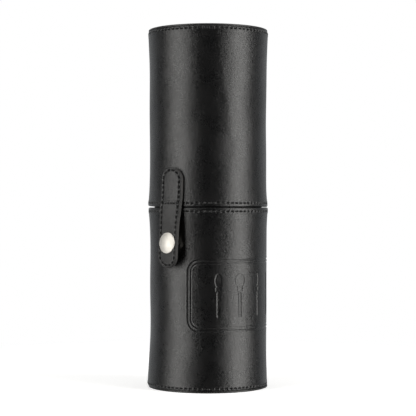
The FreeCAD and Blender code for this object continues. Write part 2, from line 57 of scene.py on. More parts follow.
MM = 0.001
WALL_RADIUS = 36.0 * MM           # over the leather, half way up a cup
RIM_FLARE = 0.9 * MM              # the sewn rims stand out by this much
DISC_FLARE = 1.1 * MM             # and the ends at the discs by this much
BOARD_RADIUS = 35.2 * MM          # outside of the board under the leather
SEW_PITCH = 3.0 * MM
DISC_SEW = 1.35 * MM              # sewing line, from the disc
RIM_SEW = 2.3 * MM                # sewing line, from the rim at the seam
RIM_TURN = 1.3 * MM               # leather over the end of the board
ROUND_OVER = 0.8 * MM             # rounding of the leather over the rim
BASE_BORE = 33.2 * MM             # inside edge of the leather that is turned over each rim
LID_BORE = 33.5 * MM
CUP_STITCHES = round(2 * math.pi * (WALL_RADIUS + RIM_FLARE) / SEW_PITCH)
GAPE_AZIMUTH = math.radians(-54.5)    # where the two rims stand furthest apart
GAPE_SPREAD = math.radians(26)
GAPE = 0.45 * MM

base_low, base_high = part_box("base_wrap")
lid_low, lid_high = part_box("lid_wrap")

# Heights of a cup's disc end and rim, the seed of its waves, the height over which its disc end
# widens, and how far out of round it is.
Cup = namedtuple("Cup", "disc rim seed reach lean")
BASE_CUP = Cup(base_low.z, base_high.z, 5, 32 * MM, 1.0)
LID_CUP = Cup(lid_high.z, lid_low.z, 11, 60 * MM, -0.2)


def lathe_point(radius, azimuth, height):
    """Points of a turned surface; azimuth 0 is the strap's side (-Y) and 90 degrees is +X."""
    return np.stack([radius * np.sin(azimuth), -radius * np.cos(azimuth), height + 0 * azimuth], axis=-1)


def bell(distance, width):
    return np.exp(-(distance / width) ** 2)


def soft_step(value, low, high):
    part = np.clip((value - low) / (high - low), 0, 1)
    return part * part * (3 - 2 * part)


def flared_radius(from_disc, from_rim, reach, azimuth, lean):
    """Radius over the leather at a distance in from the disc, whose end widens over reach, and from
    the rim.  The cup is a little out of round: lean is how much it stands out towards GAPE_AZIMUTH."""
    disc_end = np.clip(1 - from_disc / reach, 0, 1) ** 1.8
    rim_end = np.exp(-np.clip(from_rim - 2.5 * MM, 0, None) / (7 * MM))
    uneven = lean * np.cos(azimuth - GAPE_AZIMUTH)
    disc_flare = DISC_FLARE * disc_end * (1 + 0.45 * uneven)
    return WALL_RADIUS + disc_flare + RIM_FLARE * rim_end - 0.22 * MM * uneven * (1 - disc_end)


def slack(azimuth, height, seed):
    """The shallow waves of leather over board: a sum of long soft ripples."""
    rng = np.random.default_rng(seed)
    total = 0 * (azimuth + height)
    for _ in range(14):
        turns = rng.integers(1, 8)
        rise = rng.uniform(-1, 1) / (38 * MM)
        phase = rng.uniform(0, 2 * math.pi)
        size = rng.uniform(0.3, 1.0) * 0.06 * MM
        total = total + size * np.sin(turns * azimuth + 2 * math.pi * rise * height + phase)
    return total


def cup_run(cup):
    """Length of a cup from disc to rim, and 1 where that is upwards or -1 where it is down."""
    return abs(cup.rim - cup.disc), 1 if cup.rim > cup.disc else -1


def cup_radius(cup, at, azimuth):
    """Radius over the leather of a cup, waves and all, at a distance from its disc end."""
    length, way = cup_run(cup)
    waves = slack(azimuth, cup.disc + way * at, cup.seed) * soft_step(at, 0, 6 * MM)
    return flared_radius(at, length - at, cup.reach, azimuth, cup.lean) + waves


def rim_gape(azimuth, at, length, wander=0.0):
    """How far the sewn rim is drawn back from the seam, at a distance from the disc end."""
    gape = GAPE * bell(azimuth - GAPE_AZIMUTH, GAPE_SPREAD) + wander
    return gape * soft_step(at, length - 5 * MM, length - 1 * MM)


def wrap_angle(azimuth):
    return (azimuth + math.pi) % (2 * math.pi) - math.pi


def lid_dent(azimuth, height):
    """A soft hollow beside a low upright fold, where the lid has been squeezed near its top."""
    across = wrap_angle(azimuth - math.radians(47)) * WALL_RADIUS
    lean = across + 0.16 * (height - 190 * MM)
    hollow = -0.16 * MM * bell(lean + 6 * MM, 6.5 * MM) * bell(height - 196 * MM, 13 * MM)
    fold = 0.13 * MM * bell(lean - 1.5 * MM, 3.2 * MM) * bell(height - 178 * MM, 26 * MM)
    return hollow + fold


def lap_seam(azimuth):
    """Where the two ends of the leather meet, straight up the back: a fine line beside a low step."""
    across = wrap_angle(azimuth - math.pi) * WALL_RADIUS
    return -0.24 * MM * bell(across, 0.35 * MM) + 0.15 * MM * bell(across - 1.1 * MM, 0.9 * MM)


def sewn_relief(along, from_line):
    """How a sewn line shapes leather: a trough under each stitch and a swell between two stitches.
    along is the place in stitches, whose middles are at 0.5, 1.5 and so on."""
    from_middle = np.abs(along % 1.0 - 0.5)
    under = 1 - soft_step(from_middle, 0.20, 0.36)
    trough = -0.40 * MM * bell(from_line, 0.46 * MM) * under
    swell = 0.06 * MM * bell(from_line, 0.55 * MM) * (1 - under)
    shoulder = 0.08 * MM * bell(np.abs(from_line) - 1.0 * MM, 0.4 * MM)
    return trough + swell + shoulder


def sheet_mesh(name, points):
    """A mesh from rows and columns of points, closed both ways, with its normals outwards."""
    rows, columns = points.shape[:2]
    index = np.arange(rows * columns).reshape(rows, columns)
    right = np.roll(index, -1, axis=1)
    above = np.roll(index, -1, axis=0)
    corner = np.roll(above, -1, axis=1)
    quads = np.stack([index, right, corner, above], axis=-1).reshape(-1, 4)
    return finish_mesh(name, points.reshape(-1, 3), quads.tolist())


def finish_mesh(name, vertices, faces, marks=None):
    """A smooth-shaded object; marks are per-vertex values that its material reads."""
    mesh = bpy.data.meshes.new(name)
    mesh.from_pydata(vertices.tolist(), [], faces)
    mesh.validate()
    mesh.shade_smooth()
    for mark, values in (marks or {}).items():
        layer = mesh.attributes.new(mark, "FLOAT", "POINT")
        layer.data.foreach_set("value", np.ascontiguousarray(values, dtype=np.float32).ravel())
    mesh.update()
    if enclosed_volume(mesh) < 0:
        mesh.flip_normals()
    piece = bpy.data.objects.new(name, mesh)
    bpy.context.scene.collection.objects.link(piece)
    return piece


def enclosed_volume(mesh):
    mesh.calc_loop_triangles()
    places = np.empty(len(mesh.vertices) * 3)
    mesh.vertices.foreach_get("co", places)
    corners = np.empty(len(mesh.loop_triangles) * 3, dtype=np.int32)
    mesh.loop_triangles.foreach_get("vertices", corners)
    first, second, third = places.reshape(-1, 3)[corners.reshape(-1, 3)].transpose(1, 0, 2)
    return float(np.einsum("ij,ij->i", first, np.cross(second, third)).sum() / 6)


def stacked_heights(length, dense_ends, dense_middle=None):
    """Distances from the disc end: fine steps at the sewn ends and in one band, coarse between."""
    fine, coarse = 0.2 * MM, 1.6 * MM
    inner_end = length - dense_ends
    stops = [(0, dense_ends, fine), (dense_ends, inner_end, coarse), (inner_end, length, fine)]
    if dense_middle is not None:
        low, high, step = dense_middle
        stops[1:2] = [(dense_ends, low, coarse), (low, high, step), (high, inner_end, coarse)]
    runs = []
    for start, end, step in stops:
        runs.append(np.linspace(start, end, max(2, round((end - start) / step)), endpoint=False))
    return np.concatenate(runs + [[length]])


def cup_leather(name, cup, bore, pressed, azimuth, band=None):
    """The leather of one cup: outside face, turned rim and the face against the board."""
    length, way = cup_run(cup)
    stitches = azimuth / (2 * math.pi) * CUP_STITCHES
    rows = []
    for at in stacked_heights(length - ROUND_OVER, 5 * MM, band):
        height = cup.disc + way * at
        radius = cup_radius(cup, at, azimuth)
        radius = radius + sewn_relief(stitches + 0.3, at - DISC_SEW)
        radius = radius + sewn_relief(stitches, length - at - RIM_SEW)
        radius = radius - 0.45 * MM * (1 - soft_step(at, 0, 1.0 * MM)) + lap_seam(azimuth)
        rows.append((radius + pressed(azimuth, height), height, at))
    rim_radius = rows[-1][0]
    for step in np.linspace(0.15, 1, 7):
        turn = step * math.pi / 2
        radius = rim_radius - ROUND_OVER * (1 - math.cos(turn))
        rows.append((radius, cup.rim - way * ROUND_OVER * (1 - math.sin(turn)), length))
    for inward, down in ((0.35 * MM, 0), (0.1 * MM, 0.1 * MM), (0, 0.35 * MM), (0, RIM_TURN)):
        rows.append((bore + inward, cup.rim - way * down, length))
    for at in (length - RIM_TURN, length * 0.5, 0):
        rows.append((BOARD_RADIUS, cup.disc + way * at, at))
    wander = 0.05 * MM * np.sin(3 * azimuth + cup.seed) + 0.04 * MM * np.sin(7 * azimuth + 2 * cup.seed)
    points = []
    for radius, height, at in rows:
        drawn_back = rim_gape(azimuth, at, length, wander)
        points.append(lathe_point(radius, azimuth, height - way * drawn_back))
    return sheet_mesh(name, np.array(points))


# The pressed frame: two fine lines in the shape of a label with rounded corners, round five
# upright brushes, on the +X side of the lower cup.
FRAME_MIDDLE = 58 * MM
FRAME_HALF_WIDTH = 46.5 * MM
FRAME_HALF_HEIGHT = 21 * MM
FRAME_CORNER = 7 * MM
FRAME_LINE_GAP = 2.0 * MM
PRESS_DEPTH = 0.34 * MM
BRUSH_SPACING = 14 * MM


def label_edge(across, up, half_width, half_height, corner):
    """Signed distance to the edge of a rectangle with rounded corners."""
    out_x = np.abs(across) - (half_width - corner)
    out_y = np.abs(up) - (half_height - corner)
    outside = np.hypot(np.maximum(out_x, 0), np.maximum(out_y, 0))
    return outside + np.minimum(np.maximum(out_x, out_y), 0) - corner


def brush_edge(across, up, tuft_width):
    """Signed distance to a plain upright brush: handle, ferrule and tuft."""
    handle = label_edge(across, up + 5.5 * MM, 0.9 * MM, 7.5 * MM, 0.85 * MM)
    ferrule = label_edge(across, up - 3.6 * MM, 1.7 * MM, 1.3 * MM, 0.3 * MM)
    swell = 1 - ((up - 8.8 * MM) / (4.4 * MM)) ** 2
    tuft_side = np.abs(across) - tuft_width * np.clip(swell, 0, 1) ** 0.6
    tuft = np.maximum(tuft_side, np.abs(up - 8.9 * MM) - 4.0 * MM)
    return handle, ferrule, tuft


def press(edge, width):
    """A line pressed into the leather along an edge, with a faint swell on each side of it."""
    return -PRESS_DEPTH * bell(edge, width) + 0.08 * MM * bell(np.abs(edge) - 2.2 * width, width)


def pressed_frame(azimuth, height):
    """Depth of the whole pressed frame: its two lines and its five brushes."""
    across = (wrap_angle(azimuth) - math.pi / 2) * WALL_RADIUS
    up = height - FRAME_MIDDLE + 0 * azimuth
    outer = label_edge(across, up, FRAME_HALF_WIDTH, FRAME_HALF_HEIGHT, FRAME_CORNER)
    depth = press(outer, 0.42 * MM) + 0.7 * press(outer + FRAME_LINE_GAP, 0.30 * MM)
    for place, tuft_width in ((-2, 2.1 * MM), (-1, 3.3 * MM), (0, 1.5 * MM), (1, 2.7 * MM), (2, 1.9 * MM)):
        handle, ferrule, tuft = brush_edge(across - place * BRUSH_SPACING, up, tuft_width)
        for edge in (handle, ferrule, tuft):
            depth = depth - 0.8 * PRESS_DEPTH * (1 - soft_step(edge, -0.35 * MM, 0.30 * MM))
    return depth


def base_columns():
    """Columns round the lower cup: close together behind the pressed frame, wider elsewhere."""
    half = (FRAME_HALF_WIDTH + 2 * MM) / WALL_RADIUS
    framed = np.linspace(math.pi / 2 - half, math.pi / 2 + half, 330, endpoint=False)
    plain = np.linspace(math.pi / 2 + half, math.pi / 2 - half + 2 * math.pi, 640, endpoint=False)
    return np.concatenate([framed, plain])


FRAME_REACH = FRAME_HALF_HEIGHT + 2 * MM
frame_band = (FRAME_MIDDLE - FRAME_REACH - base_low.z, FRAME_MIDDLE + FRAME_REACH - base_low.z, 0.3 * MM)
lid_columns = np.linspace(-math.pi, math.pi, 1000, endpoint=False)
base_leather = cup_leather("base_leather", BASE_CUP, BASE_BORE, pressed_frame, base_columns(), frame_band)
lid_leather = cup_leather("lid_leather", LID_CUP, LID_BORE, lid_dent, lid_columns)


def node_group(name, inputs, outputs):
    """A shader node group with named sockets; gives back the group and its two end nodes."""
    group = bpy.data.node_groups.new(name, "ShaderNodeTree")
    for socket, kind, value in inputs:
        group.interface.new_socket(name=socket, in_out="INPUT", socket_type=kind).default_value = value
    for socket, kind in outputs:
        group.interface.new_socket(name=socket, in_out="OUTPUT", socket_type=kind)
    return group, group.nodes.new("NodeGroupInput").outputs, group.nodes.new("NodeGroupOutput").inputs


def add_node(tree, kind, sources, **settings):
    """A node with its settings, its inputs joined to other sockets or given plain values."""
    node = tree.nodes.new(kind)
    for setting, value in settings.items():
        setattr(node, setting, value)
    for socket, source in sources.items():
        if isinstance(source, bpy.types.NodeSocket):
            tree.links.new(source, node.inputs[socket])
        else:
            node.inputs[socket].default_value = source
    return node


def calculate(tree, operation, first, second=0.0, third=0.0):
    return add_node(tree, "ShaderNodeMath", {0: first, 1: second, 2: third}, operation=operation).outputs[0]


def between(tree, value, low, high, low_result=0.0, high_result=1.0):
    """Smooth change from one result to another as a value goes from low to high."""
    sources = {"Value": value, "From Min": low, "From Max": high}
    sources.update({"To Min": low_result, "To Max": high_result})
    return add_node(tree, "ShaderNodeMapRange", sources, interpolation_type="SMOOTHSTEP").outputs[0]


def cloudiness(tree, place, scale, detail=2.0, roughness=0.5):
    sources = {"Vector": place, "Scale": scale, "Detail": detail, "Roughness": roughness}
    return add_node(tree, "ShaderNodeTexNoise", sources).outputs["Fac"]


def set_surface(tree, shader, colour, roughness, height):
    """Joins a colour, a roughness and a relief in millimetres to a shader."""
    bump = add_node(tree, "ShaderNodeBump", {"Strength": 1.0, "Distance": MM, "Height": height})
    tree.links.new(colour, shader.inputs["Base Color"])
    tree.links.new(roughness, shader.inputs["Roughness"])
    tree.links.new(bump.outputs["Normal"], shader.inputs["Normal"])


def leather_grain_group():
    """Relief of smooth-finished leather in millimetres, with a cloudy mask and one of its rubbed parts."""
    group, given, result = node_group(
        "leather grain",
        [("Pebble size", "NodeSocketFloat", 1.0), ("Depth", "NodeSocketFloat", 1.0)],
        [("Height", "NodeSocketFloat"), ("Mottle", "NodeSocketFloat"), ("Rubbed", "NodeSocketFloat")],
    )
    place = group.nodes.new("ShaderNodeTexCoord").outputs["Object"]
    scale = calculate(group, "DIVIDE", 1.0, given["Pebble size"])
    bent = cloudiness(group, place, 900.0, 2.0)
    spread = add_node(group, "ShaderNodeVectorMath", {0: bent, "Scale": 0.0007}, operation="SCALE")
    shift = add_node(group, "ShaderNodeVectorMath", {0: place, 1: spread.outputs[0]}, operation="ADD")
    cells = []
    for size, edge, rise in ((1600.0, 0.30, 0.030), (520.0, 0.14, 0.018)):
        sources = {"Vector": shift.outputs[0], "Scale": calculate(group, "MULTIPLY", scale, size)}
        cell = add_node(group, "ShaderNodeTexVoronoi", sources, feature="DISTANCE_TO_EDGE")
        cells.append(between(group, cell.outputs["Distance"], 0.0, edge, 0.0, rise))
    soft = calculate(group, "MULTIPLY", cloudiness(group, place, 330.0, 2.0), 0.09)
    broad = calculate(group, "MULTIPLY", cloudiness(group, place, 75.0, 2.0), 0.26)
    fine = calculate(group, "MULTIPLY", cloudiness(group, place, 6500.0, 2.0), 0.006)
    relief = calculate(group, "ADD", calculate(group, "ADD", *cells), calculate(group, "ADD", fine, soft))
    relief = calculate(group, "ADD", relief, broad)
    group.links.new(calculate(group, "MULTIPLY", relief, given["Depth"]), result["Height"])
    group.links.new(cloudiness(group, place, 110.0, 2.0), result["Mottle"])
    rubbed = cloudiness(group, place, 1300.0, 3.0, 0.6)
    group.links.new(between(group, rubbed, 0.35, 0.65), result["Rubbed"])
    return group


LEATHER_GRAIN = leather_grain_group()


def blended_colour(tree, amount, first, second):
    """A colour that varies from the first to the second as a mask goes from 0 to 1."""
    node = tree.nodes.new("ShaderNodeMix")
    node.data_type = "RGBA"
    enabled = [socket for socket in node.inputs if socket.enabled]
    for socket, source in zip(enabled, (amount, first, second)):
        if isinstance(source, bpy.types.NodeSocket):
            tree.links.new(source, socket)
        else:
            socket.default_value = (*source, 1.0)
    return next(socket for socket in node.outputs if socket.enabled)


def leather_finish_group():
    """Colour and roughness of finished leather: mottled, duller where it is rubbed, raw where cut."""
    group, given, result = node_group(
        "leather finish",
        [("Mottle", "NodeSocketFloat", 0.5), ("Rubbed", "NodeSocketFloat", 0.0),
         ("Cut", "NodeSocketFloat", 0.0), ("Gloss", "NodeSocketFloat", 0.4)],
        [("Colour", "NodeSocketColor"), ("Roughness", "NodeSocketFloat")],
    )
    even = between(group, given["Mottle"], 0.3, 0.7)
    black = blended_colour(group, even, (0.0012, 0.0013, 0.0015), (0.0030, 0.0029, 0.0031))
    raw = blended_colour(group, even, (0.010, 0.0095, 0.009), (0.020, 0.019, 0.018))
    group.links.new(blended_colour(group, given["Cut"], black, raw), result["Colour"])
    rough = calculate(group, "MULTIPLY_ADD", even, 0.02, given["Gloss"])
    rough = calculate(group, "MULTIPLY_ADD", given["Rubbed"], 0.09, rough)
    rough = calculate(group, "MULTIPLY_ADD", given["Cut"], 0.30, rough)
    group.links.new(rough, result["Roughness"])
    return group


LEATHER_FINISH = leather_finish_group()


def new_material(name):
    material = bpy.data.materials.new(name)
    material.use_nodes = True
    return material, material.node_tree, material.node_tree.nodes["Principled BSDF"]


def leather_material(name, gloss, pebble, depth, cut_mark=None):
    material, tree, shader = new_material(name)
    sources = {"Pebble size": pebble, "Depth": depth}
    grain = add_node(tree, "ShaderNodeGroup", sources, node_tree=LEATHER_GRAIN)
    sources = {"Mottle": grain.outputs["Mottle"], "Rubbed": grain.outputs["Rubbed"], "Gloss": gloss}
    if cut_mark is not None:
        mark = add_node(tree, "ShaderNodeAttribute", {}, attribute_name=cut_mark)
        sources["Cut"] = mark.outputs["Fac"]
    finish = add_node(tree, "ShaderNodeGroup", sources, node_tree=LEATHER_FINISH)
    colour, roughness = finish.outputs["Colour"], finish.outputs["Roughness"]
    set_surface(tree, shader, colour, roughness, grain.outputs["Height"])
    shader.inputs["IOR"].default_value = 1.5
    return material


CUP_LEATHER = leather_material("cup leather", 0.26, 1.0, 1.0)


def belongs(piece, body, slot, material, *nodes):
    """Gives a piece its material, sets it on its body and lets it stand for CAD nodes. Its slot argument is
    not used.
    """
    piece.data.materials.append(material)
    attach(piece, body)
    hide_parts(*nodes)


belongs(base_leather, "base", "leather", CUP_LEATHER, "base_wrap")
belongs(lid_leather, "lid", "leather", CUP_LEATHER, "lid_wrap")


# ---------------------------------------------------------------- leather discs at the two ends
# A plain disc closes each cup.  Its cut edge shows as a dark line under the sewn end of the
# leather, and the thread through the leather catches the disc's rim.

DISC_EDGE = 0.35 * MM
DISC_INSET = 0.4 * MM


def turned_mesh(name, profile, columns=256):
    """A turned solid from (radius, height) points that start and end on the axis."""
    azimuth = np.linspace(-math.pi, math.pi, columns, endpoint=False)
    rings = [lathe_point(radius, azimuth, height) for radius, height in profile[1:-1]]
    vertices = np.concatenate(rings + [np.array([[0, 0, profile[0][1]], [0, 0, profile[-1][1]]])])
    top = (len(rings) - 1) * columns
    first, last = len(rings) * columns, len(rings) * columns + 1
    faces = []
    for row in range(len(rings) - 1):
        for column in range(columns):
            after = (column + 1) % columns
            low, high = row * columns, (row + 1) * columns
            faces.append((low + column, low + after, high + after, high + column))
    for column in range(columns):
        after = (column + 1) % columns
        faces.append((first, after, column))
        faces.append((last, top + column, top + after))
    return finish_mesh(name, vertices, faces)


def disc_profile(radius, under, over, crown):
    """Half section of a disc with eased corners; crown lifts its middle."""
    ease = DISC_EDGE
    profile = [(0, under), (radius * 0.5, under), (radius - ease, under)]
    for step in range(1, 6):
        turn = step / 6 * math.pi / 2
        profile.append((radius - ease + ease * math.sin(turn), under + ease - ease * math.cos(turn)))
    profile.append((radius - 0.06 * MM, (under + over) / 2))
    for step in range(0, 6):
        turn = step / 6 * math.pi / 2
        profile.append((radius - ease + ease * math.cos(turn), over - ease + ease * math.sin(turn)))
    profile.append((radius - ease, over))
    for part in (0.97, 0.9, 0.75, 0.55, 0.3, 0.1):
        profile.append((radius * part, over + crown * (1 - part * part)))
    profile.append((0, over + crown))
    return profile


disc_low, disc_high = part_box("lid_top_cover")
lid_disc_section = disc_profile(disc_high.x - DISC_INSET, disc_low.z, disc_high.z, 0.5 * MM)
lid_disc = turned_mesh("lid_top_disc", lid_disc_section)
foot_low, foot_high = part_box("base_bottom_cover")
base_disc_section = disc_profile(foot_high.x - DISC_INSET, foot_low.z, foot_high.z, 0.0)
base_disc = turned_mesh("base_bottom_disc", base_disc_section)
DISC_LEATHER = leather_material("disc leather", 0.42, 1.1, 0.8)
belongs(lid_disc, "lid", "leather", DISC_LEATHER, "lid_top_cover")
belongs(base_disc, "base", "leather", DISC_LEATHER, "base_bottom_cover")


# ---------------------------------------------------------------- thread round the cups
# Waxed black thread in separate long stitches.  Each one comes up through a hole, lies on the
# leather and goes down through the next.

THREAD = 0.5 * MM
STITCH_LENGTH = 2.0 * MM
STITCH_SUNK = 0.24 * MM           # middle of the thread below the leather's face
STRAP_GAP = math.radians(13)      # half the angle that the strap covers, where no stitch shows
SPREAD = np.linspace(-1, 1, 11)   # from one end of a stitch to the other


def stitch_tubes(name, paths, thickness):
    """One mesh of many short tubes; each path is a row of centre points with an outward direction."""
    sides = 10
    vertices, faces, along, around = [], [], [], []
    for path, outward in paths:
        start = len(vertices)
        ahead = np.gradient(path, axis=0)
        ahead /= np.linalg.norm(ahead, axis=1)[:, None]
        across = np.cross(ahead, outward)
        across /= np.linalg.norm(across, axis=1)[:, None]
        up = np.cross(across, ahead)
        travelled = np.concatenate([[0], np.cumsum(np.linalg.norm(np.diff(path, axis=0), axis=1))])
        for number, centre in enumerate(path):
            end = abs(2 * number / (len(path) - 1) - 1)
            size = thickness / 2 * (1 - 0.45 * end ** 6)
            for side in range(sides):
                turn = 2 * math.pi * (side + 0.5) / sides - math.pi / 2
                offset = math.cos(turn) * across[number] + 0.8 * math.sin(turn) * up[number]
                vertices.append(centre + size * offset)
                along.append(travelled[number])
                around.append(turn)
        for ring in range(len(path) - 1):
            for side in range(sides):
                after = (side + 1) % sides
                low, high = start + ring * sides, start + (ring + 1) * sides
                faces.append((low + side, low + after, high + after, high + side))
        faces.append(tuple(start + side for side in reversed(range(sides))))
        faces.append(tuple(start + (len(path) - 1) * sides + side for side in range(sides)))
    return finish_mesh(name, np.array(vertices), faces, {"along": along, "around": around})


def stitch_lift(spread):
    """Rise of a stitch along its length: low over the leather, then down into its two holes."""
    hole = np.clip((np.abs(spread) - 0.76) / 0.24, 0, 1)
    return 0.06 * MM * (1 - np.abs(spread) ** 3) - 0.6 * MM * hole ** 1.5


def cup_thread(name, cup, at, phase, skip=0):
    """One round of stitches at a distance from a cup's disc end, left out within skip of the strap."""
    length, way = cup_run(cup)
    half = STITCH_LENGTH / 2 / (WALL_RADIUS + RIM_FLARE)
    paths = []
    for number in range(CUP_STITCHES):
        middle = wrap_angle((number + 0.5 - phase) / CUP_STITCHES * 2 * math.pi)
        if abs(middle) < skip:
            continue
        azimuth = middle + SPREAD * half * 1.12
        height = cup.disc + way * (at - rim_gape(azimuth, at, length)) + 0.10 * MM * SPREAD
        radius = cup_radius(cup, at, azimuth) - STITCH_SUNK + stitch_lift(SPREAD)
        paths.append((lathe_point(radius, azimuth, height), lathe_point(1.0, azimuth, 0.0)))
    return stitch_tubes(name, paths, THREAD)


BASE_LENGTH = base_high.z - base_low.z
LID_LENGTH = lid_high.z - lid_low.z
base_foot_thread = cup_thread("base_foot_thread", BASE_CUP, DISC_SEW, 0.3)
base_rim_thread = cup_thread("base_rim_thread", BASE_CUP, BASE_LENGTH - RIM_SEW, 0.0)
lid_top_thread = cup_thread("lid_top_thread", LID_CUP, DISC_SEW, 0.3)
lid_rim_thread = cup_thread("lid_rim_thread", LID_CUP, LID_LENGTH - RIM_SEW, 0.0, STRAP_GAP)


def thread_material():
    """Waxed thread: two strands laid up together, dark, painted lighter along their crests as a sheen and
    darker in the grooves between them as shade.
    """
    material, tree, shader = new_material("waxed thread")
    along = add_node(tree, "ShaderNodeAttribute", {}, attribute_name="along").outputs["Fac"]
    around = add_node(tree, "ShaderNodeAttribute", {}, attribute_name="around").outputs["Fac"]
    place = tree.nodes.new("ShaderNodeTexCoord").outputs["Object"]
    lay = calculate(tree, "MULTIPLY_ADD", along, 2 * math.pi / (0.62 * MM), around)
    strand = calculate(tree, "ABSOLUTE", calculate(tree, "SINE", lay))
    fuzz = cloudiness(tree, place, 9000.0, 3.0)
    height = calculate(tree, "MULTIPLY_ADD", strand, 0.09, calculate(tree, "MULTIPLY", fuzz, 0.02))
    # painted sheen and shade: the colour is lighter on the strands' crests and darker in the grooves
    # between them
    colour = blended_colour(tree, strand, (0.0010, 0.0010, 0.0012), (0.0028, 0.0028, 0.0032))
    set_surface(tree, shader, colour, between(tree, fuzz, 0.3, 0.7, 0.62, 0.78), height)
    shader.inputs["Specular IOR Level"].default_value = 0.3
    return material


WAXED_THREAD = thread_material()
belongs(base_foot_thread, "base", "thread", WAXED_THREAD, "base_foot_stitching")
belongs(base_rim_thread, "base", "thread", WAXED_THREAD, "base_rim_stitching")
belongs(lid_top_thread, "lid", "thread", WAXED_THREAD, "lid_top_stitching")
belongs(lid_rim_thread, "lid", "thread", WAXED_THREAD, "lid_rim_stitching")


# ---------------------------------------------------------------- strap
# One strip of two leathers sewn face to face all round its edge.  Its upper end is sewn to the
# lid; below the sewn fold it hangs free and carries the cap of the snap fastener.

STRAP_HALF = 7.3 * MM
STRAP_TOP = -21.7 * MM            # distances down the strap from its fold
STRAP_TIP = 38.4 * MM
STRAP_BACKING = 1.0 * MM
STRAP_THICK = 2.2 * MM
STRAP_SEW = 1.6 * MM              # sewing line, from the edge
FOLD_HEIGHT = 112.77 * MM
FLAP_BACK = 37.46 * MM
FLAP_LEAN = 5.184                 # degrees out from the wall
SNAP_DROP = 23.7 * MM
CAP_RADIUS = 6.25 * MM
TIP_CURL = 1.5 * MM
TWIST = 7.0                       # degrees the free end is turned towards the gape
CROSS_STITCHES = 6


def strap_back(down):
    """Distance of the strap's back from the cup's axis, and its height, at a distance down it."""
    lean = math.radians(FLAP_LEAN)
    height = FOLD_HEIGHT - down * (1 - (1 - math.cos(lean)) * soft_step(down, -3 * MM, 3 * MM))
    from_disc, from_rim = LID_CUP.disc - height, height - LID_CUP.rim
    on_wall = flared_radius(from_disc, from_rim, LID_CUP.reach, 0.0, LID_CUP.lean) - 0.06 * MM
    hanging = FLAP_BACK + down * math.sin(lean)
    curl = TIP_CURL * np.clip((down - 27 * MM) / (STRAP_TIP - 27 * MM), 0, 1.2) ** 1.8
    return on_wall + (hanging - on_wall) * soft_step(down, -4.5 * MM, 2.5 * MM) - curl, height


def strap_place(across, down, rise):
    """A place on the strap: across it, down it, and above its back."""
    step = 0.05 * MM
    out_before, height_before = strap_back(down - step)
    out_after, height_after = strap_back(down + step)
    out, height = strap_back(down)
    along_out, along_up = out_after - out_before, height_after - height_before
    size = np.hypot(along_out, along_up)
    normal_out, normal_up = -along_up / size, along_out / size
    bend = (1 / WALL_RADIUS) * (1 - 0.82 * soft_step(down, -3 * MM, 13 * MM))
    turn = across * bend
    sag = (1 - np.cos(turn)) / bend
    twisted = across * math.sin(math.radians(TWIST)) * soft_step(down, 1 * MM, 16 * MM)
    off = rise * np.cos(turn) - sag + twisted
    side = np.sin(turn) * (1 / bend + rise)
    return np.stack([side, -(out + off * normal_out), height + off * normal_up], axis=-1)


def strap_outline(inset, count=540):
    """Points round a strap with round ends, drawn in by inset, with the distance run round them."""
    radius = STRAP_HALF - inset
    top, tip = STRAP_TOP + STRAP_HALF, STRAP_TIP - STRAP_HALF
    straight = tip - top
    bow = math.pi * (STRAP_HALF - STRAP_SEW)
    run = np.linspace(0, 2 * straight + 2 * bow, count, endpoint=False)
    across, down = 0 * run, 0 * run
    first = run < straight
    across[first], down[first] = radius, top + run[first]
    second = (run >= straight) & (run < straight + bow)
    turn = (run[second] - straight) / bow * math.pi
    across[second], down[second] = radius * np.cos(turn), tip + radius * np.sin(turn)
    third = (run >= straight + bow) & (run < 2 * straight + bow)
    across[third], down[third] = -radius, tip - (run[third] - straight - bow)
    fourth = run >= 2 * straight + bow
    turn = (run[fourth] - 2 * straight - bow) / bow * math.pi
    across[fourth], down[fourth] = -radius * np.cos(turn), top - radius * np.sin(turn)
    return across, down, run, 2 * straight + 2 * bow


def welded(vertices, faces):
    """Points that fall together become one, and faces lose their repeated corners."""
    _, kept, which = np.unique(np.round(vertices, 8), axis=0, return_index=True, return_inverse=True)
    which = which.ravel()
    cleaned = []
    for face in faces:
        corners = []
        for corner in which[list(face)]:
            if not corners or corners[-1] != corner:
                corners.append(int(corner))
        if len(corners) > 1 and corners[0] == corners[-1]:
            corners.pop()
        if len(corners) > 2 and len(set(corners)) == len(corners):
            cleaned.append(tuple(corners))
    return vertices[kept], cleaned, kept


def strap_relief(across, down, inset, run, total):
    """Height of the strap's face: a raised edge, a sewn furrow, and the panel it frames."""
    count = round(total / SEW_PITCH)
    furrow = 0.9 * sewn_relief(run / total * count, inset - STRAP_SEW)
    furrow = furrow - 0.12 * MM * bell(inset - STRAP_SEW, 0.4 * MM)
    bead = 0.14 * MM * bell(inset - 0.75 * MM, 0.40 * MM)
    crown = 0.12 * MM * soft_step(inset, 1.9 * MM, 3.4 * MM)
    width = 2 * (STRAP_HALF - STRAP_SEW)
    crossing = 1.1 * sewn_relief(across / width * CROSS_STITCHES, down)
    crossing = crossing * soft_step(inset, 1.2 * MM, 1.8 * MM)
    dimple = -0.12 * MM * bell(np.hypot(across, down - SNAP_DROP) - CAP_RADIUS, 0.8 * MM)
    ripple = 0.05 * MM * np.sin(down / (5.2 * MM) + 0.7) * np.cos(across / (6.0 * MM) + 0.3)
    return furrow + bead + crown + crossing + dimple + ripple * soft_step(inset, 0.5 * MM, 2.5 * MM)


